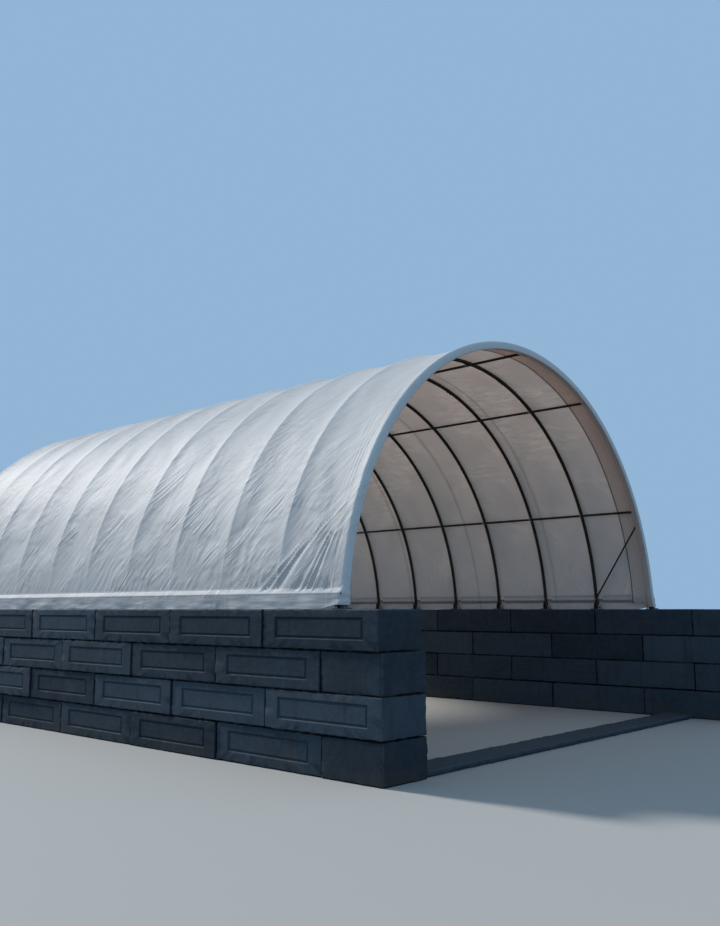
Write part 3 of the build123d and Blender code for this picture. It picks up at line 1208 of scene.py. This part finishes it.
# Marks of a row of the cover's mesh: on the turned end, on the flap, on its rope
PLAIN = (0.0, 0.0, 0.0)
TURNED = (1.0, 0.0, 0.0)
FLAP = (0.0, 1.0, 0.0)
ROPE = (0.0, 0.0, 1.0)


def ease(value, low, high):
    """Rise smoothly from 0 to 1 as a value goes from low to high."""
    share = np.clip((value - low) / (high - low), 0, 1)
    return share * share * (3 - 2 * share)


def ripple(along, up, wavelength, seed):
    """Smooth random ripples of about one wavelength, running all ways."""
    chance = np.random.default_rng(seed)
    total = 0
    waves = 14
    for _ in range(waves):
        turn = chance.uniform(-pi, pi)
        length = wavelength * chance.uniform(0.7, 1.5)
        phase = chance.uniform(0, tau)
        total = total + np.sin(tau * (along * cos(turn) + up * sin(turn)) / length + phase)
    return total / sqrt(waves / 2)


def crest(phase, width=0.2):
    """Rounded ridge at each whole number of the phase, with a flat valley between."""
    aside = phase - np.round(phase)
    return 1.5 * np.exp(-((aside / width) ** 2)) - 0.5


def half_profile():
    """Right half of the cover's section, from the ridge down to the wall.

    Gives points of the cloth and of the plain arch, and the distance down along the cloth.
    """
    radius = HOOP_RADIUS + TUBE_RADIUS + SHEET_GAP
    leave_z = PIPE_Z + LEAVES_ARCH
    leave = np.arcsin((leave_z - ARCH_CENTRE) / radius)
    turns = np.linspace(pi / 2, leave, 400)
    arc = np.column_stack((radius * np.cos(turns), ARCH_CENTRE + radius * np.sin(turns)))
    pocket = PIPE_RADIUS + POCKET_GAP
    aside, above = arc[-1] - np.array((PIPE_X, PIPE_Z))
    touch = atan2(above, aside) - acos(pocket / hypot(aside, above))
    round_pipe = np.linspace(touch, -0.25, 24)
    bulge = np.column_stack((PIPE_X + pocket * np.cos(round_pipe), PIPE_Z + pocket * np.sin(round_pipe)))
    drop = np.linspace(0, 1, 30)[1:, None]
    foot = np.array((bulge[-1, 0] + SKIRT_SPREAD, WALL_TOP))
    skirt = bulge[-1] + drop * (foot - bulge[-1])
    cloth = np.vstack((arc, bulge, skirt))
    level = cloth[:, 1] - ARCH_CENTRE
    arch = np.column_stack((np.sqrt(np.maximum(radius**2 - level**2, 0)), cloth[:, 1]))
    steps = np.hypot(*np.diff(cloth, axis=0).T)
    return cloth, arch, np.concatenate(([0], np.cumsum(steps)))


def full_profile():
    """Section of the cover from the left wall over the ridge to the right wall.

    Stations lie closer together near the walls, where the folds are. Gives for each station its
    cloth point, arch point, height along the cloth above the edge pipe, and side.
    """
    cloth, arch, down = half_profile()
    total = down[-1]
    pipe_down = np.interp(-PIPE_Z, -cloth[:, 1], down)
    foot_runs = ((0, 0.16, 7), (0.168, 0.215, 9), (0.228, 0.265, 4))
    foot_steps = np.concatenate([np.linspace(*run) for run in foot_runs])
    near_steps = np.arange(0.285, 1.75, 0.036)
    far_steps = np.linspace(1.80, total, 38)
    stations = total - np.concatenate((foot_steps, near_steps, far_steps))
    right_cloth, right_arch = (
        np.column_stack([np.interp(stations, down, line[:, i]) for i in (0, 1)])
        for line in (cloth, arch)
    )
    flip = np.array((-1, 1))
    both_cloth = np.vstack((right_cloth * flip, right_cloth[-2::-1]))
    both_arch = np.vstack((right_arch * flip, right_arch[-2::-1]))
    up = pipe_down - stations
    both_up = np.concatenate((up, up[-2::-1]))
    side = np.concatenate((np.full(len(up), -1), np.full(len(up) - 1, 1)))
    return both_cloth, both_arch, both_up, side


def main_stations():
    """Places along the shelter: close together in the end bays, where the folds are."""
    places = [np.linspace(FRONT_HOOP, FRONT_HOOP + BAY, FRONT_BAY_ROWS, endpoint=False)]
    for hoop in HOOP_PLACES[1:-2]:
        places.append(np.linspace(hoop, hoop + BAY, MIDDLE_BAY_ROWS, endpoint=False))
    places.append(np.linspace(REAR_HOOP - BAY, REAR_HOOP, REAR_BAY_ROWS))
    return np.concatenate(places)


def turned_end(cover):
    """Path of the cover's end round the end hoop: distance ahead of the hoop, depth and mark."""
    ring = cover.ring_width
    path = [
        (0.012, 0.0012), (0.023, 0.006), (0.032, 0.014), (0.038, 0.026), (0.0415, 0.042),
        (0.043, 0.062), (0.0435, 0.082), (0.043, ring - 0.014), (0.0405, ring - 0.004),
    ]
    lip = [
        (0.033, ring + 0.0015), (0.01, ring + 0.002), (-0.03, ring), (-0.05, ring - 0.002),
        (-0.058, ring - 0.01), (-0.066, ring - 0.03),
    ]
    steps = np.linspace(0.08, cover.flap_width - 0.02, 9)
    inside = [(-back, FLAP_DEPTH) for back in steps]
    centre = (-cover.flap_width, FLAP_DEPTH)
    roll = [
        (centre[0] + ROPE_RADIUS * cos(turn), centre[1] + ROPE_RADIUS * sin(turn))
        for turn in np.linspace(0.35 * pi, 1.85 * pi, 10)
    ]
    marked = ((path, TURNED), (lip, FLAP), (inside, FLAP), (roll, ROPE))
    return [(*spot, mark) for spots, mark in marked for spot in spots]


def cover_relief(cover, place, up, side):
    """How far the cloth stands out from the arch: sag between the hoops, folds and ripples."""
    bay_share = ((place - FRONT_HOOP) / BAY) % 1.0
    free = np.minimum(bay_share, 1 - bay_share)
    loose = ease(free, 0.0, 0.16)
    back = np.minimum(place - FRONT_HOOP, REAR_HOOP - place)
    rear = (place > (FRONT_HOOP + REAR_HOOP) / 2).astype(float)

    hang = 1 - (np.cosh(SAG_SHAPE * (bay_share - 0.5)) - 1) / (np.cosh(SAG_SHAPE / 2) - 1)
    relief = -cover.sag * hang * ease(up, 0.05, 1.1)
    for height, wavelength, seed in WAVES:
        relief += height * loose * ease(up, 0.1, 0.9) * ripple(place, up + 9 * side, wavelength, seed)

    relief += corner_folds(cover, back, up, 0.3 * side + 0.4 * rear)

    beside = (back + 0.03 * up) / 0.055 + 0.5 * ripple(back * 3, up, 1.5, 7)
    strength = ease(back, 0.03, 0.08) * (1 - ease(back, 0.2, 0.42))
    strength = strength * ease(up, 0.9, 1.5) * (1 - ease(up, 3.3, 5.2))
    relief += HOOP_FOLD_HEIGHT * strength * crest(beside) * (0.7 + 0.4 * ripple(place, up, 0.8, 8))

    bay = np.floor((place - FRONT_HOOP) / BAY)
    lean = 0.45 + 0.35 * np.sin(bay * 2.3 + side)
    lean = np.where(bay == 1, SECOND_BAY_LEAN, lean)
    skew = place + lean * up + 0.05 * ripple(place, up, 0.9, 11)
    reach = 0.6 + 0.3 * np.sin(bay * 1.7)
    strength = loose * (back > BAY) * ease(up, 0.04, 0.14) * np.exp(-np.maximum(up, 0) / reach)
    strength *= np.clip(0.7 + 0.6 * ripple(place, up * 0.3, 1.1, 9), 0, 1.6)
    relief += FOOT_FOLD_HEIGHT * strength * crest(skew / 0.15 + 0.3 * ripple(place, up, 0.7, 10), 0.24)

    skirt = ease(-up, 0.0, 0.16)
    relief += skirt * (0.006 * ripple(place, up, 0.6, 12) + 0.003 * ripple(place * 0.25, up, 0.09, 13))

    over_flap = 1 - ease(back, cover.flap_width + 0.02, cover.flap_width + 0.1)
    relief = np.maximum(relief, FLAP_CLEAR - FLAP_DEPTH - 0.03 * (1 - over_flap))
    beside_hoop = free * BAY
    tube_drop = TUBE_RADIUS - np.sqrt(np.maximum(TUBE_RADIUS**2 - beside_hoop**2, 0))
    lowest = HOOP_CLEAR - SHEET_GAP - tube_drop
    return np.where(beside_hoop < TUBE_RADIUS, np.maximum(relief, lowest), relief)


def corner_folds(cover, back, up, start):
    """Folds that fan out from a pull high up on an end hoop down to the edge pipe."""
    drop = cover.pull_height - up
    reach = np.hypot(back, np.maximum(drop, 0))
    turn = np.degrees(np.arctan2(back, np.maximum(drop, 0.02)))
    wander = start + 0.5 * np.sin(0.31 * turn + 4 * start) + 0.1 * ripple(back, up, 1.2, 5)
    strength = ease(turn, 4, 9) * (1 - ease(turn, 42, 52)) * ease(reach, 0.1, 0.5) * ease(drop, 0, 0.3)
    strength *= reach / cover.pull_height * ease(up, 0.02, 0.10)
    strength *= np.clip(0.85 + 0.35 * ripple(back, up, 0.5, 6), 0.3, 1.3)
    wide = crest(turn / cover.fold_turn + wander)
    narrow = crest(turn * 2.4 / cover.fold_turn - 1.6 * wander, 0.26)
    return cover.fold_height * strength * (wide + 0.35 * narrow)


def lifted(points, skirt, rise):
    """Points with their skirt part raised."""
    return points + np.multiply.outer(rise, np.column_stack((0 * skirt, skirt)))


class SHELTER_OT_cover(bpy.types.Operator):
    """Build the cover, one sheet from wall to wall with its ends turned round the end hoops"""

    bl_idname = "shelter.cover"
    bl_label = "Cover"

    def execute(self, context):
        cover = context.scene.shelter_cover
        material = cloth_finish("coated_cloth", cover)
        sheet = self.make_sheet(cover)
        finish_piece(sheet, material, ["cover", "front_end_band", "rear_end_band"])
        width = 2 * half_profile()[2][-1]
        for side_name, side in SIDES:
            pocket = self.make_pocket(side_name, side)
            finish_piece(pocket, material, [f"{side_name}_hem"])
        return {"FINISHED"}

    def make_sheet(self, cover):
        """Rows of the sheet's mesh, from the end turned in at the front to the one at the rear."""
        cloth, arch, up, side = full_profile()
        places = main_stations()
        outwards = np.column_stack((arch[:, 0], arch[:, 1] - ARCH_CENTRE))
        outwards /= np.linalg.norm(outwards, axis=1)[:, None]
        grid_place, grid_up = np.meshgrid(places, up, indexing="ij")
        relief = cover_relief(cover, grid_place, grid_up, np.broadcast_to(side, grid_up.shape))
        skin = cloth[None] + relief[..., None] * outwards[None]
        skirt = np.clip((SKIRT_TOP - up) / (SKIRT_TOP - up.min()), 0, 1)
        back = np.minimum(places - FRONT_HOOP, REAR_HOOP - places)
        rise = cover.corner_lift * (1 - ease(back, 0.0, 0.35))
        pipe_end = PIPE_END_COVER * (0.3 + 0.7 * np.exp(-((up / 0.045) ** 2)) + ease(-up, 0.04, 0.10))
        pipe_end *= 1 - ease(up, 0.05, 0.4)
        lifts = lifted(0 * cloth, skirt, rise)
        rows = [(place, points, place, PLAIN) for place, points in zip(places, skin + lifts)]
        path = turned_end(cover)
        for hoop, ahead, edge_row in ((FRONT_HOOP, -1, skin[0]), (REAR_HOOP, 1, skin[-1])):
            turned, run, last = [], 0.0, (0.0, 0.0)
            for reach, depth, mark in path:
                share = min(1.0, depth / 0.06)
                base = edge_row * (1 - share) + arch * share
                wave = 0.002 * ease(np.array(-reach), 0.05, 0.3) * ripple(up, 0 * up, 0.8, 21 + ahead)
                wraps_hoop = reach > -LIP_REACH
                points = lifted(base, skirt, cover.corner_lift if wraps_hoop else cover.flap_lift)
                points = points - outwards * (depth + wave[:, None])
                run += hypot(reach - last[0], depth - last[1])
                last = (reach, depth)
                place = hoop + ahead * (reach + pipe_end * wraps_hoop)
                turned.append((place, points, hoop + ahead * run, mark))
            rows = turned[::-1] + rows if ahead < 0 else rows + turned
        across = np.where(side < 0, up, 2 * up.max() - up)
        return self.mesh_rows("cover_sheet", rows, up, across)

    def mesh_rows(self, name, rows, heights, across, keep=lambda start, end: True):
        """Mesh of rows of points, with the cloth's flat map and marks for its parts and height."""
        count = len(rows[0][1])
        points = np.concatenate(
            [
                np.column_stack((line[:, 0], np.full(count, place), line[:, 1]))
                for place, line, _, _ in rows
            ]
        )
        faces = []
        for row in range(len(rows) - 1):
            if keep(rows[row][0], rows[row + 1][0]):
                for first in range(row * count, (row + 1) * count - 1):
                    faces.append((first, first + 1, first + count + 1, first + count))
        mesh = bpy.data.meshes.new(name)
        mesh.from_pydata(points.tolist(), [], faces)
        flat = np.concatenate([np.column_stack((np.full(count, run), across)) for _, _, run, _ in rows])
        chart = mesh.uv_layers.new(name="cloth")
        corners = np.zeros(len(mesh.loops), np.int32)
        mesh.loops.foreach_get("vertex_index", corners)
        chart.data.foreach_set("uv", flat[corners].astype(np.float32).ravel())
        turned, flap, rope = np.repeat([mark for _, _, _, mark in rows], count, axis=0).T
        foot = np.tile(1 - ease(heights, -0.12, 0.10), len(rows))
        high = np.tile(ease(heights, 1.2, 3.4), len(rows))
        marks = {"turned": turned, "flap": flap, "rope": rope, "foot": foot, "high": high}
        for label, values in marks.items():
            attribute = mesh.attributes.new(label, "FLOAT", "POINT")
            attribute.data.foreach_set("value", values.astype(np.float32))
        sheet = bpy.data.objects.new(name, mesh)
        bpy.context.collection.objects.link(sheet)
        mesh.shade_smooth()
        return sheet

    def make_pocket(self, side_name, side):
        """Inner half of the edge pipe's pocket, cut away at each tie-down strap."""
        pocket = PIPE_RADIUS + POCKET_GAP
        turns = np.linspace(pi * 0.62, pi * 1.45, 14)
        around = np.column_stack((PIPE_X + pocket * np.cos(turns), PIPE_Z + pocket * np.sin(turns)))
        radius = HOOP_RADIUS + TUBE_RADIUS + SHEET_GAP
        top_z = PIPE_Z + POCKET_TOP
        top = np.array((sqrt(radius**2 - (top_z - ARCH_CENTRE) ** 2) - 0.002, top_z))
        bottom = np.array((PIPE_X + pocket - 0.002, PIPE_Z - POCKET_FOOT))
        line = np.vstack((top, (top + around[0]) / 2, around, (around[-1] + bottom) / 2, bottom))
        line = line[::-1] * np.array((side, 1)) if side > 0 else line * np.array((side, 1))
        straps = winch_places()
        cuts = [place + edge for place in straps for edge in (-STRAP_CUT, STRAP_CUT)]
        ends = (COVER_LOW.y + 0.004, COVER_HIGH.y - 0.004)
        places = np.sort(np.concatenate((np.linspace(*ends, 220), cuts)))
        rows = [(place, line, place, PLAIN) for place in places]
        heights = line[:, 1] - PIPE_Z

        def covered(start, end):
            middle = (start + end) / 2
            return all(abs(middle - place) > STRAP_CUT for place in straps)

        return self.mesh_rows(f"{side_name}_pipe_pocket", rows, heights, heights, covered)


class SHELTER_OT_edge_pipes(bpy.types.Operator):
    """Build the edge pipes"""

    bl_idname = "shelter.edge_pipes"
    bl_label = "Edge pipes"

    def execute(self, context):
        steel = context.scene.shelter_frame
        tube = steel_finish("edge_pipe", scaled(steel.tube, 1.6))
        for side_name, side in SIDES:
            node = f"{side_name}_edge_pipe"
            ends = [Vector((side * PIPE_X, place, PIPE_Z)) for place in (PIPE_LOW.y, PIPE_HIGH.y)]
            pipe = long_tube(f"{node}_tube", PIPE_RADIUS, *ends, PIPE_SLEEVES)
            finish_piece(pipe, tube, [node])
        return {"FINISHED"}


# Stage
FLOOR_SIZE = 400
FLOOR_DROP = 0.002
KEY_LIGHT_FROM = Vector((-0.10, 0.82, 0.56))
KEY_LIGHT_COLOUR = (1.0, 0.96, 0.90)
KEY_LIGHT_SPREAD = radians(8)
SKY_COLOUR = (0.52, 0.75, 1.0, 1)


class SHELTER_OT_stage(bpy.types.Operator):
    """Set up the floor, the light and the camera"""

    bl_idname = "shelter.stage"
    bl_label = "Stage"

    def execute(self, context):
        stage = context.scene.shelter_stage
        deselect()
        bpy.ops.mesh.primitive_plane_add(size=FLOOR_SIZE, location=(0, 0, -FLOOR_DROP))
        floor = new_object("floor")
        floor.data.materials.append(self.floor_finish(stage))
        turn = KEY_LIGHT_FROM.to_track_quat("Z", "Y").to_euler()
        bpy.ops.object.light_add(type="SUN", rotation=turn)
        sun = new_object("key_light")
        sun.data.energy = stage.sun
        sun.data.angle = KEY_LIGHT_SPREAD
        sun.data.color = KEY_LIGHT_COLOUR
        self.light_sky(context, stage)
        camera = bpy.data.objects.new("camera", bpy.data.cameras.new("camera"))
        context.collection.objects.link(camera)
        camera.location = stage.camera_place
        camera.rotation_euler = Euler((pi / 2 + stage.camera_pitch, 0, -stage.camera_heading))
        camera.data.lens = stage.camera_lens
        camera.data.clip_end = 500
        context.scene.camera = camera
        context.scene.view_settings.view_transform = "Standard"
        return {"FINISHED"}

    def floor_finish(self, stage):
        """Pale floor that throws little light back up at the shelter."""
        finish = Finish("floor")
        seen = finish.node("ShaderNodeLightPath")
        dim = scaled(stage.floor, stage.floor_glow)
        finish.shade(Base_Color=finish.mix(seen, dim, tuple(stage.floor)), Roughness=0.9)
        return finish.material

    def light_sky(self, context, stage):
        """Even light from all round, with the backdrop's colour where the camera sees it."""
        world = bpy.data.worlds.new("sky")
        context.scene.world = world
        world.use_nodes = True
        tree = world.node_tree
        light = tree.nodes["Background"]
        light.inputs["Color"].default_value = SKY_COLOUR
        light.inputs["Strength"].default_value = stage.sky
        backdrop = tree.nodes.new("ShaderNodeBackground")
        backdrop.inputs["Color"].default_value = (*stage.backdrop, 1)
        path = tree.nodes.new("ShaderNodeLightPath")
        mixer = tree.nodes.new("ShaderNodeMixShader")
        tree.links.new(path.outputs["Is Camera Ray"], mixer.inputs[0])
        tree.links.new(light.outputs[0], mixer.inputs[1])
        tree.links.new(backdrop.outputs[0], mixer.inputs[2])
        tree.links.new(mixer.outputs[0], tree.nodes["World Output"].inputs["Surface"])


class SHELTER_PT_panel(bpy.types.Panel):
    """Sizes, colours and steps of the shelter"""

    bl_label = "Fabric storage shelter"
    bl_idname = "SHELTER_PT_panel"
    bl_space_type = "VIEW_3D"
    bl_region_type = "UI"
    bl_category = "Shelter"

    def draw(self, context):
        for name in SETTINGS:
            column = self.layout.column(align=True)
            settings = getattr(context.scene, name)
            for field in settings.bl_rna.properties:
                if not field.is_readonly and field.identifier != "name":
                    column.prop(settings, field.identifier)
        for step in STEPS:
            self.layout.operator(step.bl_idname)


SETTINGS = {
    "shelter_walls": WallSettings,
    "shelter_frame": FrameSettings,
    "shelter_cover": CoverSettings,
    "shelter_stage": StageSettings,
}
STEPS = (
    SHELTER_OT_stage,
    SHELTER_OT_cover,
    SHELTER_OT_edge_pipes,
    SHELTER_OT_hoops,
    SHELTER_OT_purlins_and_braces,
    SHELTER_OT_foot_brackets,
    SHELTER_OT_winches,
    SHELTER_OT_block_walls,
    SHELTER_OT_threshold,
)


def register():
    for item in (*SETTINGS.values(), *STEPS, SHELTER_PT_panel):
        bpy.utils.register_class(item)
    for name, group in SETTINGS.items():
        setattr(bpy.types.Scene, name, PointerProperty(type=group))


def unregister():
    for name in SETTINGS:
        delattr(bpy.types.Scene, name)
    for item in (SHELTER_PT_panel, *STEPS, *SETTINGS.values()):
        bpy.utils.unregister_class(item)


def main():
    register()
    for step in STEPS:
        getattr(bpy.ops.shelter, step.bl_idname.split(".")[1])()


if __name__ == "__main__":
    main()
